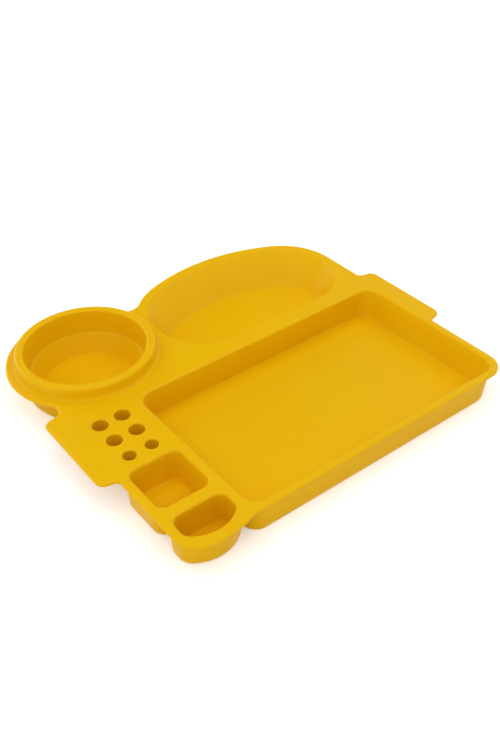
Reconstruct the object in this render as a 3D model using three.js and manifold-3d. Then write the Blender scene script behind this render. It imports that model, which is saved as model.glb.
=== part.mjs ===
// Treatment tray: one plastic moulding, drawn as the sections that its mould is cut in.
// A flat deck carries a long instrument well, a D-shaped bowl behind it, a round cup with a raised
// collar for a container, two pockets, six tube sockets and a grip tab at each end.
// Millimetres, +Z up, z = 0 on the surface that the tray stands on. The outlines are drawn from the
// front left corner of the instrument well, with X along its long side and Y to the back.
import * as THREE from 'three';
import { mergeVertices, toCreasedNormals } from 'three/addons/utils/BufferGeometryUtils.js';
import Module from 'manifold-3d';

// Deck
const DECK_HEIGHT = 30; // deck top above the table
const DECK_THICKNESS = 3;
const DECK_EDGE = 2; // rounding of the outer edge, above
const DECK_EDGE_BELOW = 0.8;
const DECK_CORNER = 20; // front right corner in plan
const RIM = 7.3; // deck left outside the instrument well at the front and right
const POCKET_RIM = 8.5; // deck left outside the pockets
const COLLAR_STRIP = 16; // deck between the instrument well and the collar's foot
const BOWL_STRIP = 18.4; // deck between the instrument well and the bowl
const MOUTH_ROUND = 2.8; // rounded edge of each well's mouth
const CONTAINER_LOBE_RIM = 8.8; // deck round the foot of the collar
const CONTAINER_LOBE_OVERHANG = 12.5; // how far the round lobe stands out past the left edge
const LOBE_FILLET = 5; // hollow corner between the round lobe and the notch
const NOTCH_INSET = 3.5; // how far the notch behind the left tab runs in past the left edge
const NOTCH_FILLET = 7.5; // hollow corner between the notch and the tab
const NECK_FILLET = 16; // hollow corner between the round lobe and the bowl's arch
const POCKET_LOBE_RADIUS = 70; // bulge of the front edge before the corner pocket
const POCKET_LOBE_BULGE = 5.7;
const POCKET_LOBE_FILLET = 15;
const POCKET_LOBE_CORNER = 16; // front left corner in plan

// Grip tabs
const TAB_LENGTH = 93;
const TAB_DEPTH = 15.2;
const TAB_SLANT = 3; // each end leans out by this much towards its root
const TAB_CORNER = 8;
const TAB_ROOT_FILLET = 5;
const TAB_SETBACK = 19.8; // back end of the tabs behind the instrument well's back edge

// Wells
const WALL = 3; // walls and floors
const DRAFT = THREE.MathUtils.degToRad(3);
const OUTER_DRAFT = THREE.MathUtils.degToRad(0.5);
const WELL_LENGTH = 270;
const WELL_WIDTH = 161.7;
const WELL_CORNER = 12;
const WELL_FILLET = 3;
const POCKET_LENGTH = 47; // both pockets, along X
const POCKET_WEB = 9; // deck between the pockets and the instrument well
const POCKET_GAP = 12.5; // deck between the two pockets
const POCKET_CORNER = 8;
const POCKET_FILLET = 3;
const POCKET_WALL = 4.5;
const CORNER_POCKET_WIDTH = 29.3;
const CORNER_POCKET_RIM = 10.5; // deck before its curved front
const CORNER_POCKET_FRONT_RADIUS = 45;
const WELL_EDGE = 2.5; // outer rounding of the foot of the well and the pockets

// Bowl
const BOWL_DEPTH = 119.6; // along Y
const BOWL_RIM = 9.8; // deck outside its right and back edges
const BOWL_WEB = 9.2; // deck between the collar's foot and its left edge
const BOWL_FRONT_CORNER = 51;
const BOWL_SIDE_STRAIGHT = 2; // least straight part between a front corner and a shoulder
const BOWL_BACK_RADIUS = 162.8;
const BOWL_CROWN_SHIFT = 6.5; // crown of its arched back, to the left of its middle
const BOWL_SHOULDER = 53;
const BOWL_DRAFT = THREE.MathUtils.degToRad(30);
const BOWL_FILLET = 8;
const BOWL_EDGE = 10;
const BOWL_SLIDE_LEFT = 4.5; // its foot lies off the middle of its mouth, so the back slopes most
const BOWL_SLIDE_FORWARD = 10;

// Container cup and its collar
const LIP_RADIUS = 55.2; // inside, at the top
const COLLAR_HEIGHT = 11.5; // above the deck
const COLLAR_FOOT_RADIUS = 64;
const COLLAR_LEAN = 0.4; // how far the outside leans in before its shoulder
const COLLAR_SHOULDER = 2.6;
const COLLAR_LIP_ROUND = 2;
const COLLAR_COVE = 3.2; // hollow rounding at the foot
const COLLAR_ROOF_ROUND = 1; // rounding inside the fold
const CUP_DRAFT = THREE.MathUtils.degToRad(2);
const CUP_LEDGE_DEPTH = 10.8; // ledge that carries the container, below the deck top
const CUP_LEDGE_WIDTH = 3.6;
const CUP_LEDGE_FALL = 0.8;
const CUP_LOWER_DRAFT = THREE.MathUtils.degToRad(22); // below the ledge
const CUP_FLOOR = 2;
const CUP_FILLET = 6;
const CUP_EDGE = 1.5;

// Tube sockets, two columns of three
const TUBE_RADIUS = 6.9;
const SMALL_TUBE_RADIUS = 5.8; // front row
const TUBE_COLUMN_PITCH = 21.1;
const TUBE_ROW_PITCH = 23;
const TUBE_SETBACK = 11.3; // back row before the instrument well's back edge
const TUBE_WEB = 16.4; // front row behind the square pocket
const TUBE_DEPTH = 24; // from the deck top to the socket's floor
const TUBE_WALL = 2;
const TUBE_FILLET = 2;
const TUBE_MOUTH_ROUND = 1;

// Facets
const CHORD_ERROR = 0.12;
const ROUND_STEPS = 4;
const SMALL_ROUND_STEPS = 3;
const CUP_FACETS = 58;
const TUBE_FACETS = 20;
const SOLVER_STEPS = 40;
const CUT_MARGIN = 1; // how far a cutter runs past the faces that it cuts
const WELD = 1e-4;
const QUARTER = Math.PI / 2;
const CREASE = THREE.MathUtils.degToRad(30);

// Places that follow from the sizes
const UNDERSIDE = DECK_HEIGHT - DECK_THICKNESS;
const RIGHT_EDGE = WELL_LENGTH + RIM;
const FRONT_EDGE = -RIM;
const POCKET_RIGHT = -POCKET_WEB;
const POCKET_LEFT = POCKET_RIGHT - POCKET_LENGTH;
const POCKET_CENTRE = (POCKET_LEFT + POCKET_RIGHT) / 2;
const LEFT_EDGE = POCKET_LEFT - POCKET_RIM;
const NOTCH_EDGE = LEFT_EDGE + NOTCH_INSET;
const FRONT_POINT = FRONT_EDGE - POCKET_LOBE_BULGE;
const CORNER_POCKET_FRONT = FRONT_POINT + CORNER_POCKET_RIM;
const CORNER_POCKET_BACK = CORNER_POCKET_FRONT + CORNER_POCKET_WIDTH;
const TUBE_BACK_ROW = WELL_WIDTH - TUBE_SETBACK;
const TUBE_FRONT_ROW = TUBE_BACK_ROW - 2 * TUBE_ROW_PITCH;
const LOBE_RADIUS = COLLAR_FOOT_RADIUS + CONTAINER_LOBE_RIM;
const CUP_X = LEFT_EDGE - CONTAINER_LOBE_OVERHANG + LOBE_RADIUS;
const CUP_Y = WELL_WIDTH + COLLAR_STRIP + COLLAR_FOOT_RADIUS;
const BOWL_LEFT = CUP_X + COLLAR_FOOT_RADIUS + BOWL_WEB;
const BOWL_RIGHT = RIGHT_EDGE - BOWL_RIM;
const BOWL_CROWN = (BOWL_LEFT + BOWL_RIGHT) / 2 - BOWL_CROWN_SHIFT;
const BOWL_FRONT = WELL_WIDTH + BOWL_STRIP;
const BOWL_BACK = BOWL_FRONT + BOWL_DEPTH;
const TAB_BACK = WELL_WIDTH + TAB_SETBACK;
const TAB_FRONT = TAB_BACK - TAB_LENGTH;
const RIGHT_REACH = RIGHT_EDGE + TAB_DEPTH;
const LEFT_REACH = LEFT_EDGE - TAB_DEPTH;

const vec = (x, y) => new THREE.Vector2(x, y);

// The sides of an outline are lines and circles, walked with the plastic on their left.
// depth is a point's distance to the left of the side, and inward the way that it grows.
class Line {
  constructor(point, heading) {
    this.point = point;
    this.left = vec(-heading.y, heading.x).normalize();
  }
  depth(p) {
    return p.clone().sub(this.point).dot(this.left);
  }
  inward() {
    return this.left;
  }
}

class Circle {
  constructor(centre, radius) {
    this.centre = centre;
    this.radius = radius;
  }
  depth(p) {
    return this.radius - p.distanceTo(this.centre);
  }
  inward(p) {
    return this.centre.clone().sub(p).normalize();
  }
}

const eastward = (y) => new Line(vec(0, y), vec(1, 0));
const westward = (y) => new Line(vec(0, y), vec(-1, 0));
const northward = (x) => new Line(vec(x, 0), vec(0, 1));
const southward = (x) => new Line(vec(x, 0), vec(0, -1));

// Centre of the arc that touches two sides. A positive radius rounds a corner off, and a negative
// one fills a hollow corner. The search starts from a point near the corner.
function arcCentre(first, second, radius, near) {
  const centre = near.clone();
  for (let step = 0; step < SOLVER_STEPS; step++) {
    const a = first.inward(centre);
    const b = second.inward(centre);
    const missA = radius - first.depth(centre);
    const missB = radius - second.depth(centre);
    const cross = a.x * b.y - a.y * b.x;
    centre.x += (missA * b.y - missB * a.y) / cross;
    centre.y += (missB * a.x - missA * b.x) / cross;
  }
  return centre;
}

// Points along an arc from one point to another, both included.
function arcPoints(centre, from, to, turn) {
  const start = Math.atan2(from.y - centre.y, from.x - centre.x);
  const end = Math.atan2(to.y - centre.y, to.x - centre.x);
  const radius = from.distanceTo(centre);
  const sweep = THREE.MathUtils.euclideanModulo(turn * (end - start), 2 * Math.PI);
  const widest = 2 * Math.acos(1 - CHORD_ERROR / radius);
  const steps = Math.ceil(sweep / widest) + 1;
  return Array.from({ length: steps + 1 }, (_, i) => {
    const angle = start + (turn * sweep * i) / steps;
    return vec(centre.x + radius * Math.cos(angle), centre.y + radius * Math.sin(angle));
  });
}

// A closed outline from its sides. Each entry is a side, the radius of the corner at its end and a
// point near that corner. A radius of 0 joins two sides that touch smoothly at that point.
function outline(entries) {
  const corners = entries.map(([side, radius, near], i) => {
    const next = entries[(i + 1) % entries.length][0];
    if (radius === 0) return { arc: [near] };
    const centre = arcCentre(side, next, radius, near);
    const foot = (s) => centre.clone().addScaledVector(s.inward(centre), -radius);
    return { arc: arcPoints(centre, foot(side), foot(next), Math.sign(radius)) };
  });
  const points = [];
  corners.forEach(({ arc }, i) => {
    const next = (i + 1) % entries.length;
    const side = entries[next][0];
    points.push(...arc);
    if (side instanceof Circle) {
      points.push(...arcPoints(side.centre, arc.at(-1), corners[next].arc[0], 1).slice(1, -1));
    }
  });
  return points;
}

function roundedRectangle(left, right, front, back, radius) {
  return outline([
    [eastward(front), radius, vec(right, front)],
    [northward(right), radius, vec(right, back)],
    [westward(back), radius, vec(left, back)],
    [southward(left), radius, vec(left, front)],
  ]);
}

// The sides of the bowl's arched back, or with a margin those of the deck round it.
function archSides(margin) {
  const radius = BOWL_BACK_RADIUS + margin;
  const top = new Circle(vec(BOWL_CROWN, BOWL_BACK - BOWL_BACK_RADIUS), radius);
  const shoulder = BOWL_SHOULDER + margin;
  const left = southward(BOWL_LEFT - margin);
  const right = northward(BOWL_RIGHT + margin);
  const leftCorner = vec(BOWL_LEFT, BOWL_BACK);
  const rightCorner = vec(BOWL_RIGHT, BOWL_BACK);
  return { top, shoulder, left, right, leftCorner, rightCorner };
}

// A front corner is limited by its side, from the front to the shoulder.
function bowlOutline() {
  const { top, shoulder, left, right, leftCorner, rightCorner } = archSides(0);
  const frontCorner = (side, near) => {
    const wall = arcCentre(side, top, shoulder, near).y - BOWL_FRONT;
    return Math.min(BOWL_FRONT_CORNER, wall - BOWL_SIDE_STRAIGHT);
  };
  return outline([
    [eastward(BOWL_FRONT), frontCorner(right, rightCorner), vec(BOWL_RIGHT, BOWL_FRONT)],
    [right, shoulder, rightCorner],
    [top, shoulder, leftCorner],
    [left, frontCorner(left, leftCorner), vec(BOWL_LEFT, BOWL_FRONT)],
  ]);
}

function cornerPocketOutline() {
  const centre = vec(POCKET_CENTRE, CORNER_POCKET_FRONT + CORNER_POCKET_FRONT_RADIUS);
  const front = new Circle(centre, CORNER_POCKET_FRONT_RADIUS);
  return outline([
    [front, POCKET_CORNER, vec(POCKET_RIGHT, CORNER_POCKET_FRONT)],
    [northward(POCKET_RIGHT), POCKET_CORNER, vec(POCKET_RIGHT, CORNER_POCKET_BACK)],
    [westward(CORNER_POCKET_BACK), POCKET_CORNER, vec(POCKET_LEFT, CORNER_POCKET_BACK)],
    [southward(POCKET_LEFT), POCKET_CORNER, vec(POCKET_LEFT, CORNER_POCKET_FRONT)],
  ]);
}

function deckOutline() {
  const lobe = new Circle(vec(CUP_X, CUP_Y), LOBE_RADIUS);
  const bulge = new Circle(vec(POCKET_CENTRE, FRONT_POINT + POCKET_LOBE_RADIUS), POCKET_LOBE_RADIUS);
  const { top, shoulder, left, right, leftCorner, rightCorner } = archSides(BOWL_RIM);
  const shoulderCentre = arcCentre(top, left, shoulder, leftCorner);
  const leftShoulder = new Circle(shoulderCentre, shoulder);
  const crown = shoulderCentre.clone().sub(top.centre).setLength(top.radius).add(top.centre);
  const neck = vec(BOWL_LEFT - BOWL_RIM, CUP_Y + LOBE_RADIUS / 2);
  const tabFront = TAB_FRONT - TAB_SLANT;
  const tabBack = TAB_BACK + TAB_SLANT;
  const rightFront = new Line(vec(RIGHT_EDGE, tabFront), vec(TAB_DEPTH, TAB_SLANT));
  const rightBack = new Line(vec(RIGHT_EDGE, tabBack), vec(-TAB_DEPTH, TAB_SLANT));
  const leftBack = new Line(vec(LEFT_EDGE, tabBack), vec(-TAB_DEPTH, -TAB_SLANT));
  const leftFront = new Line(vec(LEFT_EDGE, tabFront), vec(TAB_DEPTH, -TAB_SLANT));
  return outline([
    [eastward(FRONT_EDGE), DECK_CORNER, vec(RIGHT_EDGE, FRONT_EDGE)],
    [northward(RIGHT_EDGE), -TAB_ROOT_FILLET, vec(RIGHT_EDGE, TAB_FRONT)],
    [rightFront, TAB_CORNER, vec(RIGHT_REACH, TAB_FRONT)],
    [northward(RIGHT_REACH), TAB_CORNER, vec(RIGHT_REACH, TAB_BACK)],
    [rightBack, -TAB_ROOT_FILLET, vec(RIGHT_EDGE, TAB_BACK)],
    [right, shoulder, rightCorner],
    [top, 0, crown],
    [leftShoulder, -NECK_FILLET, neck],
    [lobe, -LOBE_FILLET, vec(NOTCH_EDGE, CUP_Y - LOBE_RADIUS / 2)],
    [southward(NOTCH_EDGE), -NOTCH_FILLET, vec(NOTCH_EDGE, TAB_BACK)],
    [leftBack, TAB_CORNER, vec(LEFT_REACH, TAB_BACK)],
    [southward(LEFT_REACH), TAB_CORNER, vec(LEFT_REACH, TAB_FRONT)],
    [leftFront, -TAB_ROOT_FILLET, vec(LEFT_EDGE, TAB_FRONT)],
    [southward(LEFT_EDGE), POCKET_LOBE_CORNER, vec(LEFT_EDGE, FRONT_POINT)],
    [bulge, -POCKET_LOBE_FILLET, vec(POCKET_RIGHT, FRONT_EDGE)],
  ]);
}

// The outline moved inwards by a distance, with as many points.
function inset(points, distance) {
  const last = points.length - 1;
  const leftOf = (from, to) => vec(from.y - to.y, to.x - from.x).normalize();
  return points.map((p, i) => {
    const before = leftOf(points[i === 0 ? last : i - 1], p);
    const after = leftOf(p, points[i === last ? 0 : i + 1]);
    const mitre = before.clone().add(after).divideScalar(1 + before.dot(after));
    return p.clone().addScaledVector(mitre, distance);
  });
}

// A solid lofted through insets of one outline. The profile lists [inset, z] from the lower cap, up
// the outside and, for a hollow, over the rim and down to the floor. The slide is how far the solid
// leans sideways from the deck's underside down to the table.
function loft(points, profile, slide = vec(0, 0)) {
  const count = points.length;
  const rings = profile.map(([distance, z]) => {
    const fall = (UNDERSIDE - z) / UNDERSIDE;
    return inset(points, distance).map((p) => [p.x + slide.x * fall, p.y + slide.y * fall, z]);
  });
  const index = [];
  for (let ring = 0; ring + 1 < rings.length; ring++) {
    for (let i = 0; i < count; i++) {
      const a = ring * count + i;
      const b = ring * count + ((i + 1) % count);
      index.push(a, b, b + count, a, b + count, a + count);
    }
  }
  const cap = (ring) => THREE.ShapeUtils.triangulateShape(inset(points, profile[ring][0]), []);
  const last = rings.length - 1;
  cap(0).forEach(([a, b, c]) => index.push(a, c, b));
  cap(last).forEach((corners) => index.push(...corners.map((i) => last * count + i)));
  const geometry = new THREE.BufferGeometry();
  geometry.setAttribute('position', new THREE.Float32BufferAttribute(rings.flat(2), 3));
  geometry.setIndex(index);
  return geometry;
}

// Quarter of a rounding in a profile, as [across, z] pairs. The angles run from level to straight down.
function rounding(across, z, radius, from, to, steps) {
  return Array.from({ length: steps + 1 }, (_, i) => {
    const angle = THREE.MathUtils.lerp(from, to, i / steps);
    return [across - radius * Math.cos(angle), z - radius * Math.sin(angle)];
  });
}

// Profile of a well that hangs below the deck: rounded foot, leaning walls and filleted floor.
function wellProfile(draft, fillet, outerDraft, edge, wall) {
  const lean = (z, angle) => (UNDERSIDE - z) * Math.tan(angle);
  const foot = lean(edge, outerDraft) - wall + edge / Math.cos(outerDraft);
  const cove = lean(WALL + fillet, draft) + fillet / Math.cos(draft);
  return [
    ...rounding(foot, edge, edge, QUARTER, outerDraft, ROUND_STEPS),
    [-wall, UNDERSIDE],
    [0, UNDERSIDE],
    ...rounding(cove, WALL + fillet, fillet, draft, QUARTER, ROUND_STEPS),
  ];
}

// Cutter for a mouth in the deck, flared to a rounded edge at the top.
function mouthProfile(round) {
  return [
    [0, UNDERSIDE - CUT_MARGIN],
    ...rounding(-round, DECK_HEIGHT - round, round, Math.PI, 3 * QUARTER, SMALL_ROUND_STEPS),
    [-round, DECK_HEIGHT + CUT_MARGIN],
  ];
}

function platePanel(points) {
  return loft(points, [
    ...rounding(DECK_EDGE_BELOW, UNDERSIDE + DECK_EDGE_BELOW, DECK_EDGE_BELOW, QUARTER, 0, SMALL_ROUND_STEPS),
    ...rounding(DECK_EDGE, DECK_HEIGHT - DECK_EDGE, DECK_EDGE, 0, -QUARTER, SMALL_ROUND_STEPS),
  ]);
}

// A solid of revolution about an upright axis from [radius, z] pairs.
function revolve(profile, facets, x, y) {
  const points = profile.map(([radius, z]) => vec(radius, z));
  return new THREE.LatheGeometry(points, facets).rotateX(QUARTER).translate(x, y, 0);
}

// The collar is folded up from the deck and hollow below, as thick as the walls.
function collarProfile() {
  const top = DECK_HEIGHT + COLLAR_HEIGHT;
  const shoulderRadius = COLLAR_FOOT_RADIUS - COLLAR_LEAN;
  const crestRadius = shoulderRadius - COLLAR_SHOULDER;
  const crestHeight = top - COLLAR_SHOULDER;
  const lipRadius = LIP_RADIUS + COLLAR_LIP_ROUND;
  const throat = cupRadius(UNDERSIDE);
  const roof = top - WALL;
  const foldRadius = shoulderRadius - WALL - COLLAR_ROOF_ROUND;
  const coveRadius = COLLAR_FOOT_RADIUS + COLLAR_COVE;
  const coveHeight = DECK_HEIGHT + COLLAR_COVE;
  const lipHeight = top - COLLAR_LIP_ROUND;
  const few = SMALL_ROUND_STEPS;
  const cove = rounding(coveRadius, coveHeight, COLLAR_COVE, QUARTER, 0, few);
  const shoulder = rounding(crestRadius, crestHeight, COLLAR_SHOULDER, Math.PI, 3 * QUARTER, ROUND_STEPS);
  const lip = rounding(lipRadius, lipHeight, COLLAR_LIP_ROUND, -QUARTER, 0, few);
  const fold = rounding(foldRadius, roof - COLLAR_ROOF_ROUND, COLLAR_ROOF_ROUND, 3 * QUARTER, Math.PI, few);
  return [
    ...cove,
    ...shoulder,
    ...lip,
    [throat, UNDERSIDE],
    [throat + WALL, UNDERSIDE],
    [throat + WALL, roof],
    ...fold,
    [COLLAR_FOOT_RADIUS - WALL, DECK_HEIGHT],
    cove[0],
  ];
}

// Inner radius of the cup's wall above its ledge.
function cupRadius(z) {
  return LIP_RADIUS - (DECK_HEIGHT + COLLAR_HEIGHT - COLLAR_LIP_ROUND - z) * Math.tan(CUP_DRAFT);
}

function cupProfile() {
  const ledge = DECK_HEIGHT - CUP_LEDGE_DEPTH;
  const outer = (z) => cupRadius(z) + WALL;
  const shelf = cupRadius(ledge) - CUP_LEDGE_WIDTH;
  const bend = CUP_FLOOR + CUP_FILLET;
  const tangent = CUP_FILLET / Math.cos(CUP_LOWER_DRAFT);
  const cove = shelf - (ledge - bend) * Math.tan(CUP_LOWER_DRAFT) - tangent;
  const floor = rounding(cove, bend, CUP_FILLET, Math.PI - CUP_LOWER_DRAFT, QUARTER, ROUND_STEPS);
  return [
    [0, 0],
    ...rounding(outer(0) - CUP_EDGE, CUP_EDGE, CUP_EDGE, QUARTER, Math.PI, ROUND_STEPS),
    [outer(UNDERSIDE), UNDERSIDE],
    [cupRadius(UNDERSIDE), UNDERSIDE],
    [cupRadius(ledge), ledge],
    [shelf, ledge - CUP_LEDGE_FALL],
    ...floor,
    [0, CUP_FLOOR],
  ];
}

function socketProfile(radius) {
  const floor = DECK_HEIGHT - TUBE_DEPTH;
  const cove = [radius - TUBE_FILLET, floor + TUBE_FILLET];
  return [
    [0, floor - TUBE_WALL],
    [radius + TUBE_WALL - TUBE_FILLET, floor - TUBE_WALL],
    [radius + TUBE_WALL, floor - TUBE_WALL + TUBE_FILLET],
    [radius + TUBE_WALL, UNDERSIDE],
    [radius, UNDERSIDE],
    ...rounding(...cove, TUBE_FILLET, Math.PI, QUARTER, SMALL_ROUND_STEPS),
    [0, floor],
  ];
}

const wasm = await Module();
wasm.setup();

// One welded surface, without the slivers that a revolve leaves on its axis.
function weld(geometry) {
  const bare = new THREE.BufferGeometry().setAttribute('position', geometry.getAttribute('position'));
  const welded = mergeVertices(bare.setIndex(geometry.getIndex()), WELD);
  const index = welded.getIndex().array;
  const kept = [];
  for (let i = 0; i < index.length; i += 3) {
    const [a, b, c] = index.slice(i, i + 3);
    if (a !== b && b !== c && c !== a) kept.push(a, b, c);
  }
  return welded.setIndex(kept);
}

function toSolid(geometry) {
  const { attributes, index } = weld(geometry);
  const vertProperties = Float32Array.from(attributes.position.array);
  const triVerts = Uint32Array.from(index.array);
  return new wasm.Manifold(new wasm.Mesh({ numProp: 3, vertProperties, triVerts }));
}

function toGeometry(solid) {
  const { vertProperties, triVerts } = solid.getMesh();
  const geometry = new THREE.BufferGeometry();
  geometry.setAttribute('position', new THREE.BufferAttribute(vertProperties, 3));
  return geometry.setIndex(new THREE.BufferAttribute(triVerts, 1));
}

const plastic = { color: 0xe6ac0c, roughness: 0.38, metalness: 0 };
const tray = new THREE.Group();

function section(name, geometry) {
  const shaded = toCreasedNormals(weld(geometry), CREASE);
  const mesh = new THREE.Mesh(shaded, new THREE.MeshStandardMaterial(plastic));
  mesh.name = name;
  tray.add(mesh);
}

const instrumentWell = roundedRectangle(0, WELL_LENGTH, 0, WELL_WIDTH, WELL_CORNER);
const squarePocket = roundedRectangle(
  POCKET_LEFT, POCKET_RIGHT, CORNER_POCKET_BACK + POCKET_GAP, TUBE_FRONT_ROW - TUBE_WEB, POCKET_CORNER,
);
const cornerPocket = cornerPocketOutline();
const bowl = bowlOutline();
const tubes = [];
for (let row = 0; row < 3; row++) {
  for (const side of [-1, 1]) {
    const x = POCKET_CENTRE + (side * TUBE_COLUMN_PITCH) / 2;
    const y = TUBE_BACK_ROW - row * TUBE_ROW_PITCH;
    tubes.push({ x, y, radius: row === 2 ? SMALL_TUBE_RADIUS : TUBE_RADIUS });
  }
}

// Deck, with a mouth cut for each hollow
const mouths = [instrumentWell, squarePocket, cornerPocket, bowl].map((points) =>
  loft(points, mouthProfile(MOUTH_ROUND)),
);
for (const { x, y, radius } of tubes) {
  const flared = mouthProfile(TUBE_MOUTH_ROUND).map(([across, z]) => [radius - across, z]);
  const plug = [[0, flared[0][1]], ...flared, [0, flared.at(-1)[1]]];
  mouths.push(revolve(plug, TUBE_FACETS, x, y));
}
const collarBore = COLLAR_FOOT_RADIUS - WALL;
mouths.push(
  revolve(
    [
      [0, UNDERSIDE - CUT_MARGIN],
      [collarBore, UNDERSIDE - CUT_MARGIN],
      [collarBore, DECK_HEIGHT + CUT_MARGIN],
      [0, DECK_HEIGHT + CUT_MARGIN],
    ],
    CUP_FACETS, CUP_X, CUP_Y,
  ),
);
const panel = toSolid(platePanel(deckOutline()));
section('deck', toGeometry(mouths.reduce((solid, mouth) => solid.subtract(toSolid(mouth)), panel)));

const wellWalls = wellProfile(DRAFT, WELL_FILLET, OUTER_DRAFT, WELL_EDGE, WALL);
section('instrument_well', loft(instrumentWell, wellWalls));
const bowlWalls = wellProfile(BOWL_DRAFT, BOWL_FILLET, BOWL_DRAFT, BOWL_EDGE, WALL);
section('rear_bowl', loft(bowl, bowlWalls, vec(-BOWL_SLIDE_LEFT, -BOWL_SLIDE_FORWARD)));
const pocketWalls = wellProfile(DRAFT, POCKET_FILLET, OUTER_DRAFT, WELL_EDGE, POCKET_WALL);
section('square_pocket', loft(squarePocket, pocketWalls));
section('corner_pocket', loft(cornerPocket, pocketWalls));
section('container_cup', revolve(cupProfile(), CUP_FACETS, CUP_X, CUP_Y));
section('container_collar', revolve(collarProfile(), CUP_FACETS, CUP_X, CUP_Y));
tubes.forEach(({ x, y, radius }, i) => {
  section(`tube_socket_${i + 1}`, revolve(socketProfile(radius), TUBE_FACETS, x, y));
});

// The origin lies under the middle of the tray
const middle = new THREE.Box3().setFromObject(tray).getCenter(new THREE.Vector3());
tray.position.set(-middle.x, -middle.y, 0);

export default tray;
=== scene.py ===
"""Looks of a moulded treatment tray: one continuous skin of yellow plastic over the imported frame.

The tray is a single moulding, so one mesh stands for all the sections of the frame. Its outlines and
profiles are drawn in millimetres, in the frame's own axes, from the places that the frame gives.
"""

import logging
import math
from dataclasses import dataclass, replace
from enum import Enum
from itertools import pairwise

import bmesh
import bpy
from mathutils import Matrix, Vector


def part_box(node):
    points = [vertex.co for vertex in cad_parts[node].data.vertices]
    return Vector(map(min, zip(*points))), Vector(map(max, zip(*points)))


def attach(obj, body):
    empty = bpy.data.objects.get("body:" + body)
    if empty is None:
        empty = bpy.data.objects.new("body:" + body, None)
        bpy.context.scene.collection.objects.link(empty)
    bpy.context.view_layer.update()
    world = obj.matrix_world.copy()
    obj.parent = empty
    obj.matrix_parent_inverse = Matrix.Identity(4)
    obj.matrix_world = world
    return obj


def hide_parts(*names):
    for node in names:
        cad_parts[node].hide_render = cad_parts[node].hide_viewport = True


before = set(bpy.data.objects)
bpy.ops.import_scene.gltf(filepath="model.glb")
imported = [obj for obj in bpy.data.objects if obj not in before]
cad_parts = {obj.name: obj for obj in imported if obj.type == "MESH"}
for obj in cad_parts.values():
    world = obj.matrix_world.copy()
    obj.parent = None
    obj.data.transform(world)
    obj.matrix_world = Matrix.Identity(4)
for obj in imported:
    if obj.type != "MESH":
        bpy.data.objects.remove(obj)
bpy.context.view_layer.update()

LOG = logging.getLogger("tray")

MM = 0.001
QUARTER = math.pi / 2
CHORD_ERROR = 0.02  # how far a facet may stand off its arc, in millimetres
SOLVER_STEPS = 40
WELD = 1e-6  # metres
ROUND_STEPS = 7
FILLET_STEPS = 10
ROOT_STEPS = 3
WALL_STEPS = 4
CUP_FACETS = 160
TUBE_FACETS = 48
WHITE = (1, 1, 1, 1)

Profile = list[tuple[float, float]]  # pairs of inset and height
Section = list[tuple[float, float]]  # pairs of radius and height
Outline = list[Vector]  # closed, anticlockwise, in millimetres


def vec(x: float, y: float) -> Vector:
    """A point or direction in plan."""
    return Vector((x, y))


class Skin(Enum):
    """Which face of the plastic is pressed: the one seen from above or the one seen from below."""

    UPPER = "upper"
    LOWER = "lower"


class Turn(Enum):
    """The way an arc is walked, seen from above."""

    LEFT = 1
    RIGHT = -1


@dataclass(frozen=True)
class Extent:
    """A frame node's box in millimetres."""

    left: float
    right: float
    front: float
    back: float
    bottom: float
    top: float

    @classmethod
    def of(cls, node: str) -> "Extent":
        """Read the box of one node from the frame.

        Args:
            node: Name of the frame's node.

        Returns:
            Its box.
        """
        low, high = (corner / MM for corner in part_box(node))
        return cls(low.x, high.x, low.y, high.y, low.z, high.z)

    def shrunk(self, margin: float) -> "Extent":
        """The same box drawn in by a margin in plan."""
        return replace(
            self,
            left=self.left + margin,
            right=self.right - margin,
            front=self.front + margin,
            back=self.back - margin,
        )

    @property
    def centre(self) -> Vector:
        """Middle of the box in plan."""
        return vec((self.left + self.right) / 2, (self.front + self.back) / 2)

    @property
    def depth(self) -> float:
        """Size along Y."""
        return self.back - self.front


@dataclass(frozen=True)
class Line:
    """A straight side of an outline, walked with the plastic on its left."""

    point: Vector
    heading: Vector

    def inward(self, _: Vector) -> Vector:
        """Direction into the plastic."""
        return vec(-self.heading.y, self.heading.x).normalized()

    def depth(self, place: Vector) -> float:
        """Distance of a place to the left of the side."""
        return (place - self.point).dot(self.inward(place))


@dataclass(frozen=True)
class Circle:
    """A round side of an outline, walked to the left with the plastic inside."""

    centre: Vector
    radius: float

    def inward(self, place: Vector) -> Vector:
        """Direction into the plastic."""
        return (self.centre - place).normalized()

    def depth(self, place: Vector) -> float:
        """Distance of a place inside the circle."""
        return self.radius - (place - self.centre).length


Side = Line | Circle


@dataclass(frozen=True)
class Corner:
    """A side, and how it turns into the next one.

    A positive radius rounds a corner off and a negative one fills a hollow corner. A radius of 0
    joins two sides that touch smoothly at the given place.
    """

    side: Side
    radius: float
    near: Vector


def eastward(y: float) -> Line:
    """A side that runs to the right."""
    return Line(vec(0, y), vec(1, 0))


def westward(y: float) -> Line:
    """A side that runs to the left."""
    return Line(vec(0, y), vec(-1, 0))


def northward(x: float) -> Line:
    """A side that runs to the back."""
    return Line(vec(x, 0), vec(0, 1))


def southward(x: float) -> Line:
    """A side that runs to the front."""
    return Line(vec(x, 0), vec(0, -1))


def arc_centre(first: Side, second: Side, radius: float, near: Vector) -> Vector:
    """Find the centre of the arc that touches two sides.

    Args:
        first: Side before the arc.
        second: Side after it.
        radius: Signed radius, negative in a hollow corner.
        near: A place near the corner, where the search starts.

    Returns:
        The centre.
    """
    centre = near.copy()
    for _ in range(SOLVER_STEPS):
        a, b = first.inward(centre), second.inward(centre)
        miss_a, miss_b = radius - first.depth(centre), radius - second.depth(centre)
        cross = a.x * b.y - a.y * b.x
        centre.x += (miss_a * b.y - miss_b * a.y) / cross
        centre.y += (miss_b * a.x - miss_a * b.x) / cross
    return centre


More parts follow.
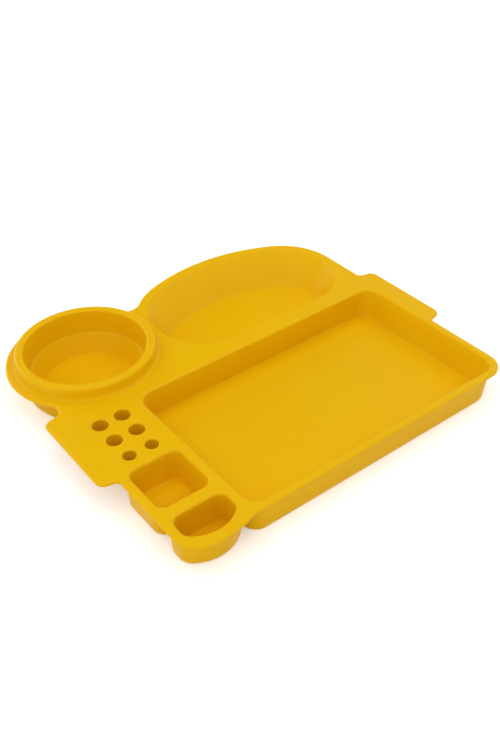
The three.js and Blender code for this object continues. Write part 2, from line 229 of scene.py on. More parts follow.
def arc_points(centre: Vector, start: Vector, end: Vector, turn: Turn) -> Outline:
    """Sample an arc, with both of its ends.

    Args:
        centre: Centre of the arc.
        start: First point.
        end: Last point.
        turn: The way it is walked.

    Returns:
        The points.
    """
    spoke = start - centre
    radius = spoke.length
    first = math.atan2(spoke.y, spoke.x)
    last = math.atan2(end.y - centre.y, end.x - centre.x)
    sweep = (turn.value * (last - first)) % math.tau
    steps = math.ceil(sweep / (2 * math.acos(1 - CHORD_ERROR / radius))) + 1
    angles = [first + turn.value * sweep * i / steps for i in range(steps + 1)]
    return [centre + radius * vec(math.cos(a), math.sin(a)) for a in angles]


def trace(corners: list[Corner]) -> Outline:
    """Draw a closed outline from its sides.

    Args:
        corners: The sides in order, anticlockwise, each with the corner at its end.

    Returns:
        The outline's points.
    """
    arcs = []
    for corner, after in zip(corners, corners[1:] + corners[:1]):
        if corner.radius == 0:
            arcs.append([corner.near])
            continue
        centre = arc_centre(corner.side, after.side, corner.radius, corner.near)
        start = centre - corner.radius * corner.side.inward(centre)
        end = centre - corner.radius * after.side.inward(centre)
        arcs.append(arc_points(centre, start, end, Turn.LEFT if corner.radius > 0 else Turn.RIGHT))
    points = []
    for i, arc in enumerate(arcs):
        following = (i + 1) % len(arcs)
        side = corners[following].side
        points += arc
        if isinstance(side, Circle):
            points += arc_points(side.centre, arc[-1], arcs[following][0], Turn.LEFT)[1:-1]
    return points


def ring(centre: Vector, radius: float, facets: int) -> Outline:
    """A circle of evenly spaced points."""
    angles = [math.tau * i / facets for i in range(facets)]
    return [centre + radius * vec(math.cos(a), math.sin(a)) for a in angles]


def grown(outline: Outline, distance: float) -> Outline:
    """Move an outline outwards by a distance.

    Args:
        outline: The outline, anticlockwise.
        distance: How far it moves, in millimetres.

    Returns:
        An outline with as many points.
    """
    moved = []
    for before, point, after in zip(outline[-1:] + outline[:-1], outline, outline[1:] + outline[:1]):
        a = vec(point.y - before.y, before.x - point.x).normalized()
        b = vec(after.y - point.y, point.x - after.x).normalized()
        moved.append(point + (a + b) * (distance / (1 + a.dot(b))))
    return moved


def bend(across: float, z: float, radius: float, start: float, end: float, steps: int) -> Profile:
    """Sample a rounding of a profile.

    Args:
        across: Inset of the rounding's centre.
        z: Height of its centre.
        radius: Its radius.
        start: First angle, 0 towards the outline and a quarter turn for straight down.
        end: Last angle.
        steps: Number of facets.

    Returns:
        Pairs of inset and height.
    """
    angles = [start + (end - start) * i / steps for i in range(steps + 1)]
    return [(across - radius * math.cos(a), z - radius * math.sin(a)) for a in angles]


def deselect() -> None:
    """Leave edit mode with nothing selected."""
    if bpy.context.mode != "OBJECT":
        bpy.ops.object.mode_set(mode="OBJECT")
    bpy.ops.object.select_all(action="DESELECT")


def press(
    name: str,
    outline: Outline,
    profile: Profile,
    slide: Vector = vec(0, 0),
    narrowing: float = 0.0,
    floored: bool = True,
) -> bpy.types.Object:
    """Press a flat face into a hollow by one inset after another.

    Args:
        name: Name of the new object.
        outline: The outline that the profile's insets count from.
        profile: Pairs of inset and height, from the outside in.
        slide: Sideways move for each millimetre of fall.
        narrowing: How much further its right side comes in for each millimetre of fall.
        floored: Whether the last face stays.

    Returns:
        The pressed piece, open along its first loop.
    """
    deselect()
    first, height = profile[0]
    loop = grown(outline, -first)
    bpy.ops.mesh.primitive_circle_add(vertices=len(loop), radius=1, fill_type="NGON")
    piece = bpy.context.active_object
    piece.name = name
    for vertex, point in zip(piece.data.vertices, loop):
        vertex.co = (point.x * MM, point.y * MM, height * MM)
    left = min(p.x for p in loop)
    width = max(p.x for p in loop) - left
    bpy.ops.object.mode_set(mode="EDIT")
    bpy.ops.mesh.select_all(action="SELECT")
    for (inset, z), (next_inset, next_z) in pairwise(profile):
        fall = z - next_z
        bpy.ops.mesh.inset(thickness=(next_inset - inset) * MM, depth=-fall * MM, use_even_offset=True)
        left += next_inset - inset + slide.x * fall
        width -= 2 * (next_inset - inset)
        if slide.length:
            shift = slide * fall * MM
            bpy.ops.transform.translate(value=(shift.x, shift.y, 0))
        if narrowing:
            squeeze = (width - narrowing * fall) / width
            bpy.ops.transform.resize(value=(squeeze, 1, 1), center_override=(left * MM, 0, 0))
            width *= squeeze
    if not floored:
        bpy.ops.mesh.delete(type="ONLY_FACE")
    bpy.ops.object.mode_set(mode="OBJECT")
    return piece


def join(name: str, pieces: list[bpy.types.Object]) -> bpy.types.Object:
    """Join pieces into one mesh.

    Args:
        name: Name of the joined piece.
        pieces: What is joined.

    Returns:
        The joined piece.
    """
    deselect()
    for piece in pieces:
        piece.select_set(True)
    bpy.context.view_layer.objects.active = pieces[0]
    bpy.ops.object.join()
    pieces[0].name = name
    return pieces[0]


def fill_level(piece: bpy.types.Object, height: float) -> None:
    """Fill the flat plastic between all the open loops at one height.

    Args:
        piece: The mesh that has the loops.
        height: Their height in millimetres.
    """
    deselect()
    bpy.context.view_layer.objects.active = piece
    bpy.ops.object.mode_set(mode="EDIT")
    bpy.ops.mesh.select_mode(type="EDGE")
    bpy.ops.mesh.select_all(action="DESELECT")
    mesh = bmesh.from_edit_mesh(piece.data)
    for edge in mesh.edges:
        level = all(abs(vertex.co.z - height * MM) < WELD for vertex in edge.verts)
        edge.select_set(edge.is_boundary and level)
    bmesh.update_edit_mesh(piece.data)
    bpy.ops.mesh.fill(use_beauty=True)
    bpy.ops.object.mode_set(mode="OBJECT")


@dataclass
class Plastic:
    """Thickness of the moulding and the levels that its faces share."""

    deck: Extent
    wall: float
    collar: float = 0.4  # flat ring kept round each mouth so that the deck shades flat
    collar_below: float = 0.2
    root_below: float = 0.4  # rounding under the deck at the root of each wall

    def mouth(self, skin: Skin, rounding: float) -> tuple[float, float, float]:
        """How a wall leaves the deck on one skin.

        Args:
            skin: Which face of the plastic.
            rounding: Radius of the mouth's edge, on the upper skin.

        Returns:
            The deck's height, the rounding and the flat ring's width.
        """
        if skin is Skin.UPPER:
            return self.deck.top, rounding, self.collar
        return self.deck.bottom, self.root_below, self.collar_below


@dataclass
class Hollow:
    """A well, bowl or pocket that hangs below the deck."""

    name: str
    plastic: Plastic
    inner: Outline  # at the mouth
    outer: Outline  # under the deck
    draft: float
    outer_draft: float
    fillet: float
    edge: float
    mouth: float
    flat: float = 1.0  # level ring inside the floor's edge
    slide: Vector = vec(0, 0)  # for each millimetre of fall
    outer_slide: Vector = vec(0, 0)
    narrowing: float = 0.0  # further lean of the right side, for each millimetre of fall
    outer_narrowing: float = 0.0

    def profile(self, skin: Skin) -> Profile:
        """Section of the wall from the deck to the floor.

        Args:
            skin: Which face of the plastic.

        Returns:
            Pairs of inset and height.
        """
        top, mouth, flat = self.plastic.mouth(skin, self.mouth)
        if skin is Skin.UPPER:
            draft, floor, fillet = self.draft, self.plastic.wall, self.fillet
        else:
            draft, floor, fillet = self.outer_draft, 0.0, self.edge
        lip = bend(-mouth, top - mouth, mouth, -QUARTER, -math.pi + draft, ROUND_STEPS)
        start, start_z = lip[-1]
        foot_z = floor + fillet
        foot = start + (start_z - foot_z) * math.tan(draft) + fillet / math.cos(draft)
        cove = bend(foot, foot_z, fillet, draft, QUARTER, FILLET_STEPS)
        run, drop = cove[0][0] - start, cove[0][1] - start_z
        shares = [i / WALL_STEPS for i in range(1, WALL_STEPS)]
        wall = [(start + run * share, start_z + drop * share) for share in shares]
        level = (cove[-1][0] + self.flat, cove[-1][1])
        return [(-mouth - flat, top), *lip, *wall, *cove, level]

    def press(self, skin: Skin) -> bpy.types.Object:
        """Model one face of the hollow's plastic.

        Args:
            skin: Which face of the plastic.

        Returns:
            The pressed piece.
        """
        if skin is Skin.UPPER:
            outline, slide, narrowing = self.inner, self.slide, self.narrowing
        else:
            outline, slide, narrowing = self.outer, self.outer_slide, self.outer_narrowing
        return press(f"{self.name}_{skin.value}", outline, self.profile(skin), slide, narrowing)


@dataclass
class Cup:
    """The round cup with its raised collar, folded up from the deck."""

    plastic: Plastic
    collar: Extent
    lip_radius: float = 55.2
    skirt: float = 3.2  # how far the frame's collar reaches past its wall
    cove: float = 2.8  # where the collar rises from the deck
    lean: float = 0.4  # of the collar's outside, from foot to crest
    shoulder: float = 2.6  # outer rounding of the collar's crest
    lip_round: float = 2.0  # inner rounding of the crest
    roof_round: float = 1.0  # inside the collar's fold
    draft: float = math.radians(7)
    outer_draft: float = math.radians(2)
    lower_draft: float = math.radians(28)  # below the ledge
    ledge_depth: float = 10.8  # below the deck's top
    ledge_width: float = 2.8
    ledge_fall: float = 0.3
    ledge_round: float = 0.4
    ledge_ease: float = 0.25  # share of the fall at each edge of the ledge
    floor: float = 2.0
    fillet: float = 1.5
    edge: float = 1.5
    flat: float = 1.0

    @property
    def foot_radius(self) -> float:
        """Outer radius of the collar where it meets the deck."""
        return self.collar.depth / 2 - self.skirt

    def wall_radius(self, z: float, draft: float) -> float:
        """Radius at a height of a wall that leans in from the lip."""
        return self.lip_radius - (self.collar.top - self.lip_round - z) * math.tan(draft)

    def upper(self) -> Section:
        """Section of the upper skin, from the deck over the collar to the floor.

        Returns:
            Pairs of radius and height.
        """
        deck, top = self.plastic.deck.top, self.collar.top
        cove, lip = self.foot_radius + self.cove, self.lip_radius + self.lip_round
        crest = self.foot_radius - self.lean - self.shoulder
        ledge = deck - self.ledge_depth
        back = self.wall_radius(ledge, self.draft)
        shelf = back - self.ledge_width
        foot_z = self.floor + self.fillet
        fall = (ledge - foot_z) * math.tan(self.lower_draft)
        floor_radius = shelf - fall - self.fillet / math.cos(self.lower_draft)
        start, end = math.pi - self.lower_draft, QUARTER
        bottom = bend(floor_radius, foot_z, self.fillet, start, end, FILLET_STEPS)
        return [
            (cove + self.plastic.collar, deck),
            *bend(cove, deck + self.cove, self.cove, QUARTER, 0, ROUND_STEPS),
            *bend(crest, top - self.shoulder, self.shoulder, math.pi, 3 * QUARTER, FILLET_STEPS),
            *bend(lip, top - self.lip_round, self.lip_round, -QUARTER, 0, ROUND_STEPS),
            (self.wall_radius(ledge + self.ledge_round, self.draft), ledge + self.ledge_round),
            (back - self.ledge_round / 2, ledge - self.ledge_fall * self.ledge_ease),
            (shelf + self.ledge_round, ledge - self.ledge_fall * (1 - self.ledge_ease)),
            (shelf, ledge - self.ledge_fall - self.ledge_round),
            *bottom,
            (bottom[-1][0] - self.flat, self.floor),
        ]

    def lower(self) -> Section:
        """Section of the lower skin, up into the collar's hollow and down to the foot.

        Returns:
            Pairs of radius and height.
        """
        wall, deck, root_below = self.plastic.wall, self.plastic.deck.bottom, self.plastic.root_below
        roof = self.collar.top - wall
        fold = self.foot_radius - self.lean - wall - self.roof_round
        root = self.foot_radius - wall + root_below
        outer = self.wall_radius(0, self.outer_draft) + wall
        foot = bend(outer - self.edge, self.edge, self.edge, math.pi, QUARTER, FILLET_STEPS)
        return [
            (root + self.plastic.collar_below, deck),
            *bend(root, deck + root_below, root_below, QUARTER, 0, ROOT_STEPS),
            *bend(fold, roof - self.roof_round, self.roof_round, math.pi, 3 * QUARTER, ROUND_STEPS),
            (self.wall_radius(roof, self.outer_draft) + wall, roof),
            (self.wall_radius(deck, self.outer_draft) + wall, deck),
            *foot,
            (foot[-1][0] - self.flat, 0.0),
        ]

    def press(self, skin: Skin) -> bpy.types.Object:
        """Model one face of the cup and its collar.

        Args:
            skin: Which face of the plastic.

        Returns:
            The pressed piece.
        """
        section = self.upper() if skin is Skin.UPPER else self.lower()
        start = section[0][0]
        profile = [(start - radius, z) for radius, z in section]
        outline = ring(self.collar.centre, start, CUP_FACETS)
        return press(f"container_cup_{skin.value}", outline, profile)


@dataclass
class TubeSocket:
    """A blind round socket for a tube or an ampoule."""

    plastic: Plastic
    extent: Extent
    wall: float = 2.0
    mouth: float = 1.0
    fillet: float = 2.0
    flat: float = 0.5

    def press(self, skin: Skin, number: int) -> bpy.types.Object:
        """Model one face of the socket.

        Args:
            skin: Which face of the plastic.
            number: The socket's number.

        Returns:
            The pressed piece.
        """
        outer = self.extent.depth / 2
        top, mouth, flat = self.plastic.mouth(skin, self.mouth)
        upper = skin is Skin.UPPER
        radius = outer - self.wall if upper else outer
        floor = self.extent.bottom + (self.wall if upper else 0)
        lip = bend(-mouth, top - mouth, mouth, -QUARTER, -math.pi, ROUND_STEPS)
        cove = bend(self.fillet, floor + self.fillet, self.fillet, 0, QUARTER, ROUND_STEPS)
        profile = [(-mouth - flat, top), *lip, *cove, (cove[-1][0] + self.flat, floor)]
        outline = ring(self.extent.centre, radius, TUBE_FACETS)
        return press(f"tube_socket_{number}_{skin.value}", outline, profile)


@dataclass
class Deck:
    """The flat deck with its grip tabs, lobes and rounded rim."""

    plastic: Plastic
    well: Extent
    bowl: Extent
    cup: Vector
    pocket: Extent
    rim: float = 7.3  # deck outside the long well
    corner: float = 20.0
    edge: float = 2.0  # rounding of the outer edge, above
    edge_below: float = 0.8
    tab_length: float = 93.0
    tab_depth: float = 15.2
    tab_slant: float = 3.0
    tab_corner: float = 8.0
    tab_root: float = 5.0
    tab_setback: float = 19.8  # behind the long well's back
    notch_inset: float = 3.5  # between the left tab and the cup's lobe
    notch_fillet: float = 7.5
    lobe_fillet: float = 5.0
    neck_fillet: float = 16.0  # between the cup's lobe and the bowl's arch
    bulge_radius: float = 70.0  # of the front edge before the corner pocket
    bulge_fillet: float = 15.0
    bulge_corner: float = 21.0
    bowl_rim: float = 9.8
    bowl_back_radius: float = 162.8
    bowl_crown_shift: float = 6.5  # of the arch's middle, to the left of the bowl's
    bowl_shoulder: float = 53.0

    def arch(self, margin: float) -> Circle:
        """The round back of the bowl's mouth, or of the deck a margin outside it."""
        crown = vec(self.bowl.centre.x - self.bowl_crown_shift, self.bowl.back - self.bowl_back_radius)
        return Circle(crown, self.bowl_back_radius + margin)

    def tab_ends(self, edge: float, outward: int) -> tuple[Line, Line]:
        """The two slanted ends of a grip tab.

        Args:
            edge: X of the deck's edge that the tab stands out from.
            outward: 1 for the right tab and -1 for the left one.

        Returns:
            Its first and second end in the order that they are walked.
        """
        back = self.well.back + self.tab_setback
        near = vec(edge, back - self.tab_length - self.tab_slant)
        far = vec(edge, back + self.tab_slant)
        out = vec(self.tab_depth, outward * self.tab_slant)
        home = vec(-self.tab_depth, outward * self.tab_slant)
        return (Line(near, out), Line(far, home)) if outward > 0 else (Line(far, home), Line(near, out))

    def outline(self) -> Outline:
        """Draw the deck's outer edge.

        Returns:
            The outline at the widest line of the rim.
        """
        extent = self.plastic.deck
        right, left = extent.right - self.tab_depth, extent.left + self.tab_depth
        notch = left + self.notch_inset
        front = self.well.front - self.rim
        lobe = Circle(self.cup, extent.back - self.cup.y)
        bulge = Circle(vec(self.pocket.centre.x, extent.front + self.bulge_radius), self.bulge_radius)
        arch = self.arch(self.bowl_rim)
        shoulder = self.bowl_shoulder + self.bowl_rim
        left_side = southward(self.bowl.left - self.bowl_rim)
        shoulder_centre = arc_centre(arch, left_side, shoulder, vec(self.bowl.left, self.bowl.back))
        left_shoulder = Circle(shoulder_centre, shoulder)
        crown = arch.centre + (shoulder_centre - arch.centre).normalized() * arch.radius
        tab_back = self.well.back + self.tab_setback
        tab_front = tab_back - self.tab_length
        right_front, right_back = self.tab_ends(right, 1)
        left_back, left_front = self.tab_ends(left, -1)
        return trace([
            Corner(eastward(front), self.corner, vec(right, front)),
            Corner(northward(right), -self.tab_root, vec(right, tab_front)),
            Corner(right_front, self.tab_corner, vec(extent.right, tab_front)),
            Corner(northward(extent.right), self.tab_corner, vec(extent.right, tab_back)),
            Corner(right_back, -self.tab_root, vec(right, tab_back)),
            Corner(northward(right), shoulder, vec(right, self.bowl.back)),
            Corner(arch, 0, crown),
            Corner(left_shoulder, -self.neck_fillet, vec(self.bowl.left, self.cup.y + lobe.radius / 2)),
            Corner(lobe, -self.lobe_fillet, vec(notch, self.cup.y - lobe.radius / 2)),
            Corner(southward(notch), -self.notch_fillet, vec(notch, tab_back)),
            Corner(left_back, self.tab_corner, vec(extent.left, tab_back)),
            Corner(southward(extent.left), self.tab_corner, vec(extent.left, tab_front)),
            Corner(left_front, -self.tab_root, vec(left, tab_front)),
            Corner(southward(left), self.bulge_corner, vec(left, extent.front)),
            Corner(bulge, -self.bulge_fillet, vec(self.pocket.right, front)),
        ])

    def press(self, skin: Skin) -> bpy.types.Object:
        """Model half of the rounded rim, up or down from the widest line.

        Args:
            skin: Which face of the plastic.

        Returns:
            The rim's half, open inside.
        """
        extent = self.plastic.deck
        widest = extent.bottom + self.edge_below
        if skin is Skin.UPPER:
            turn = bend(self.edge, extent.top - self.edge, self.edge, 0, -QUARTER, ROUND_STEPS)
            turn = [(0, widest), *turn]
        else:
            turn = bend(self.edge_below, widest, self.edge_below, 0, QUARTER, ROUND_STEPS)
        inset, height = turn[-1]
        profile = [*turn, (inset + self.plastic.collar, height)]
        return press(f"deck_{skin.value}", self.outline(), profile, floored=False)


@dataclass
class TrayMoulding:
    """The whole moulding, as one closed skin."""

    wall: float = 3.0
    pocket_wall: float = 4.5
    well_corner: float = 14.0
    well_outer_corner: float = 22.0
    well_outer_left_corner: float = 14.0
    well_draft: float = math.radians(3)
    well_outer_draft: float = math.radians(1.5)
    well_fillet: float = 1.2
    well_edge: float = 2.0
    well_mouth: float = 2.0
    well_narrowing: float = math.tan(math.radians(14))  # of the right wall, beyond the draft
    well_outer_narrowing: float = math.tan(math.radians(9))
    pocket_corner: float = 8.0
    pocket_mouth: float = 2.5
    square_pocket_draft: float = math.radians(8)
    square_pocket_fillet: float = 2.5
    square_pocket_slide: Vector = vec(-2.0, 0)  # of its inside, from the deck's underside to the table
    pocket_flat: float = 0.4
    corner_pocket_draft: float = math.radians(4)
    corner_pocket_fillet: float = 2.0
    pocket_front_radius: float = 32.0
    pocket_outer_corner: float = 14.0
    pocket_outer_draft: float = math.radians(2.5)
    pocket_edge: float = 3.4
    corner_pocket_slide: Vector = vec(0, 1.0)  # of its outside, from the deck's underside to the table
    bowl_front_corner: float = 51.0
    bowl_draft: float = math.radians(36)
    bowl_outer_draft: float = math.radians(30)
    bowl_fillet: float = 1.8
    bowl_edge: float = 10.0
    bowl_slide: Vector = vec(-4.5, -10.0)  # from the deck's underside to the table
    sockets: int = 6

    def rounded(self, extent: Extent, radius: float, left_radius: float | None = None) -> Outline:
        """Draw a rectangle with rounded corners.

        Args:
            extent: The rectangle.
            radius: Radius of the corners.
            left_radius: Radius of the left corners, where they have their own.

        Returns:
            The outline.
        """
        left_radius = left_radius or radius
        return trace([
            Corner(eastward(extent.front), radius, vec(extent.right, extent.front)),
            Corner(northward(extent.right), radius, vec(extent.right, extent.back)),
            Corner(westward(extent.back), left_radius, vec(extent.left, extent.back)),
            Corner(southward(extent.left), left_radius, vec(extent.left, extent.front)),
        ])

    def bowl_outline(self, extent: Extent, deck: Deck) -> Outline:
        """Draw the bowl's mouth: straight front, round front corners and an arched back.

        Args:
            extent: The mouth's box.
            deck: The deck that has the arch.

        Returns:
            The outline.
        """
        return trace([
            Corner(eastward(extent.front), self.bowl_front_corner, vec(extent.right, extent.front)),
            Corner(northward(extent.right), deck.bowl_shoulder, vec(extent.right, extent.back)),
            Corner(deck.arch(0), deck.bowl_shoulder, vec(extent.left, extent.back)),
            Corner(southward(extent.left), self.bowl_front_corner, vec(extent.left, extent.front)),
        ])

    def round_fronted(self, extent: Extent, front_radius: float, radius: float) -> Outline:
        """Draw a rectangle with rounded corners and a curved front.

        Args:
            extent: The box round it.
            front_radius: Radius of the front.
            radius: Radius of the corners.

        Returns:
            The outline.
        """
        front = Circle(vec(extent.centre.x, extent.front + front_radius), front_radius)
        return trace([
            Corner(front, radius, vec(extent.right, extent.front)),
            Corner(northward(extent.right), radius, vec(extent.right, extent.back)),
            Corner(westward(extent.back), radius, vec(extent.left, extent.back)),
            Corner(southward(extent.left), radius, vec(extent.left, extent.front)),
        ])

    def instrument_well(self, plastic: Plastic) -> Hollow:
        """Lay out the long well, whose right wall leans more than the others.

        Args:
            plastic: Thickness and levels of the moulding.

        Returns:
            The well.
        """
        box = Extent.of("instrument_well")
        return Hollow(
            "instrument_well",
            plastic,
            inner=self.rounded(box.shrunk(self.wall), self.well_corner),
            outer=self.rounded(box, self.well_outer_corner, self.well_outer_left_corner),
            draft=self.well_draft,
            outer_draft=self.well_outer_draft,
            fillet=self.well_fillet,
            edge=self.well_edge,
            mouth=self.well_mouth,
            narrowing=self.well_narrowing,
            outer_narrowing=self.well_outer_narrowing,
        )

    def square_pocket(self, plastic: Plastic) -> Hollow:
        """Lay out the square pocket.

        Args:
            plastic: Thickness and levels of the moulding.

        Returns:
            The pocket.
        """
        box = Extent.of("square_pocket")
        return Hollow(
            "square_pocket",
            plastic,
            inner=self.rounded(box.shrunk(self.pocket_wall), self.pocket_corner),
            outer=self.rounded(box, self.pocket_outer_corner),
            draft=self.square_pocket_draft,
            outer_draft=self.pocket_outer_draft,
            fillet=self.square_pocket_fillet,
            edge=self.pocket_edge,
            mouth=self.pocket_mouth,
            flat=self.pocket_flat,
            slide=self.square_pocket_slide / plastic.deck.bottom,
        )

    def corner_pocket(self, plastic: Plastic) -> Hollow:
        """Lay out the small pocket with the curved front.

        Args:
            plastic: Thickness and levels of the moulding.

        Returns:
            The pocket.
        """
        box = Extent.of("corner_pocket")
        outer_front = self.pocket_front_radius + self.pocket_wall
        return Hollow(
            "corner_pocket",
            plastic,
            inner=self.round_fronted(
                box.shrunk(self.pocket_wall), self.pocket_front_radius, self.pocket_corner
            ),
            outer=self.round_fronted(box, outer_front, self.pocket_outer_corner),
            draft=self.corner_pocket_draft,
            outer_draft=self.pocket_outer_draft,
            fillet=self.corner_pocket_fillet,
            edge=self.pocket_edge,
            mouth=self.pocket_mouth,
            outer_slide=self.corner_pocket_slide / plastic.deck.bottom,
        )

    def rear_bowl(self, plastic: Plastic, deck: Deck) -> Hollow:
        """Lay out the arched bowl.

        Args:
            plastic: Thickness and levels of the moulding.
            deck: The deck that has the arch.

        Returns:
            The bowl.
        """
        mouth = self.bowl_outline(deck.bowl, deck)
        slide = self.bowl_slide / plastic.deck.bottom
        return Hollow(
            "rear_bowl",
            plastic,
            inner=mouth,
            outer=grown(mouth, self.wall),
            draft=self.bowl_draft,
            outer_draft=self.bowl_outer_draft,
            fillet=self.bowl_fillet,
            edge=self.bowl_edge,
            mouth=self.well_mouth,
            slide=slide,
            outer_slide=slide,
        )

    def build(self) -> bpy.types.Object:
        """Model both skins, close them at the rim and let them stand for the frame's nodes.

        Returns:
            The tray.
        """
        plastic = Plastic(Extent.of("deck"), self.wall)
        cup = Cup(plastic, Extent.of("container_collar"))
        well, bowl = (Extent.of(node).shrunk(self.wall) for node in ("instrument_well", "rear_bowl"))
        pocket = Extent.of("corner_pocket").shrunk(self.pocket_wall)
        deck = Deck(plastic, well, bowl, cup.collar.centre, pocket)
        hollows = [
            self.instrument_well(plastic),
            self.square_pocket(plastic),
            self.corner_pocket(plastic),
            self.rear_bowl(plastic, deck),
        ]
        tubes = [TubeSocket(plastic, Extent.of(f"tube_socket_{i + 1}")) for i in range(self.sockets)]
        skins = []
        for skin, level in ((Skin.UPPER, plastic.deck.top), (Skin.LOWER, plastic.deck.bottom)):
            pieces = [deck.press(skin), cup.press(skin)]
            pieces += [hollow.press(skin) for hollow in hollows]
            pieces += [tube.press(skin, i + 1) for i, tube in enumerate(tubes)]
            joined = join(f"skin_{skin.value}", pieces)
            fill_level(joined, level)
            LOG.info("%s skin: %d faces", skin.value, len(joined.data.polygons))
            skins.append(joined)
        return self.close(skins)

    def close(self, skins: list[bpy.types.Object]) -> bpy.types.Object:
        """Weld the two skins along the rim.

        Args:
            skins: The upper and the lower skin.

        Returns:
            One closed mesh that stands for every node of the frame.
        """
        tray = join("tray_moulding", skins)
        bpy.ops.object.mode_set(mode="EDIT")
        bpy.ops.mesh.select_all(action="SELECT")
        bpy.ops.mesh.remove_doubles(threshold=WELD)
        bpy.ops.mesh.normals_make_consistent(inside=False)
        bpy.ops.object.mode_set(mode="OBJECT")
        bpy.ops.object.shade_smooth()
        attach(tray, "root")
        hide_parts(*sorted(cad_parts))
        return tray

    def dress(self, tray: bpy.types.Object, finish: "MouldedPolypropylene") -> None:
        """Give the tray its finish."""
        tray.data.materials.append(finish.build())


def linear(code: str) -> tuple[float, float, float, float]:
    """Turn an sRGB hex colour into linear values, by the curve of that standard.

    Args:
        code: Six hex digits after a number sign.

    Returns:
        Red, green, blue and alpha.
    """
    shares = [int(code[i:i + 2], 16) / 255 for i in (1, 3, 5)]
    red, green, blue = (s / 12.92 if s <= 0.04045 else ((s + 0.055) / 1.055) ** 2.4 for s in shares)
    return red, green, blue, 1.0


def add_node(tree: bpy.types.NodeTree, kind: str, inputs: dict, **settings: str | float) -> bpy.types.Node:
    """Add a node with its settings and links.

    Args:
        tree: The material's node tree.
        kind: The node's type.
        inputs: A value, or the output that feeds it, for each input socket's name or number.
        settings: The node's own choices by name.

    Returns:
        The node.
    """
    node = tree.nodes.new(kind)
    for name, value in settings.items():
        setattr(node, name, value)
    for name, value in inputs.items():
        if isinstance(value, bpy.types.NodeSocket):
            tree.links.new(value, node.inputs[name])
        else:
            node.inputs[name].default_value = value
    return node


@dataclass(frozen=True)
class MouldedPolypropylene:
    """Injection-moulded polypropylene in one strong yellow.

    The mould was finely blasted, so the eye gets a satin sheen with soft-edged reflections that
    waver a little where the wall has shrunk, and edges that stay the colour of the body.
    """

    shade_hex: str = "#EDB904"
    deep_hex: str = "#E9B402"
    roughness: float = 0.36
    mottle: float = 0.03
    ior: float = 1.18  # less than the plastic's own 1.49, as the blasted skin mirrors little
    grain_mm: float = 0.9  # the blasted grain, drawn coarser than it is so that it shows
    grain_detail: float = 2.0
    grain_depth_mm: float = 0.2
    shrink_mm: float = 55.0
    shrink_detail: float = 1.0
    shrink_depth_mm: float = 2.0
    bump: float = 0.05
    # Painted shade: an ambient occlusion node darkens hollow corners towards this deeper yellow.
    painted_shade_hex: str = "#B87C00"
    painted_shade_and_dullness_mm: float = 6.0  # how far the painted shade and the duller skin reach out of a hollow corner
    corner_samples: int = 8
    painted_shade_start: float = 0.75  # share of open sky under which the painted shade sets in
    painted_shade_depth: float = 0.9
    corner_roughness: float = 0.35  # added where no sky is open

    def build(self) -> bpy.types.Material:
        """Make the material.

        Returns:
            The material.
        """
        material = bpy.data.materials.new("moulded_polypropylene_yellow")
        material.use_nodes = True
        tree = material.node_tree
        tree.nodes.clear()
        place = add_node(tree, "ShaderNodeTexCoord", {}).outputs["Object"]
        shrink = add_node(
            tree,
            "ShaderNodeTexNoise",
            {"Vector": place, "Scale": 1 / (self.shrink_mm * MM), "Detail": self.shrink_detail},
        ).outputs["Fac"]
        grain = add_node(
            tree,
            "ShaderNodeTexNoise",
            {"Vector": place, "Scale": 1 / (self.grain_mm * MM), "Detail": self.grain_detail},
        ).outputs["Fac"]
        tint = add_node(
            tree,
            "ShaderNodeMixRGB",
            {"Fac": shrink, "Color1": linear(self.shade_hex), "Color2": linear(self.deep_hex)},
        ).outputs["Color"]
        open_sky = add_node(
            tree,
            "ShaderNodeAmbientOcclusion",
            {"Distance": self.painted_shade_and_dullness_mm * MM},
            samples=self.corner_samples,
            only_local=True,
        ).outputs["AO"]
        # Painted shade: how far the base colour is darkened towards the corner yellow, more where less sky
        # is open.
        depth = add_node(
            tree,
            "ShaderNodeMapRange",
            {"Value": open_sky, "From Max": self.painted_shade_start, "To Min": self.painted_shade_depth, "To Max": 0.0},
        ).outputs["Result"]
        # The base colour with the painted shade mixed into the hollow corners.
        body = add_node(
            tree, "ShaderNodeMixRGB", {"Fac": depth, "Color1": tint, "Color2": linear(self.painted_shade_hex)}
        )
        dullness = add_node(
            tree, "ShaderNodeMapRange", {"Value": open_sky, "To Min": self.corner_roughness, "To Max": 0.0}
        ).outputs["Result"]
        dullest, glossiest = self.roughness + self.mottle, self.roughness - self.mottle
        sheen = add_node(
            tree, "ShaderNodeMapRange", {"Value": grain, "To Min": glossiest, "To Max": dullest}
        ).outputs["Result"]
        satin = add_node(tree, "ShaderNodeMath", {0: sheen, 1: dullness}, operation="ADD")
        waver = add_node(
            tree,
            "ShaderNodeBump",
            {"Height": shrink, "Strength": self.bump, "Distance": self.shrink_depth_mm * MM},
        ).outputs["Normal"]
        blasted = add_node(
            tree,
            "ShaderNodeBump",
            {
                "Height": grain,
                "Normal": waver,
                "Strength": self.bump,
                "Distance": self.grain_depth_mm * MM,
            },
        )
        shader = add_node(
            tree,
            "ShaderNodeBsdfPrincipled",
            {
                "Base Color": body.outputs["Color"],
                "Roughness": satin.outputs["Value"],
                "IOR": self.ior,
                "Normal": blasted.outputs["Normal"],
            },
        )
        add_node(tree, "ShaderNodeOutputMaterial", {"Surface": shader.outputs["BSDF"]})
        return material


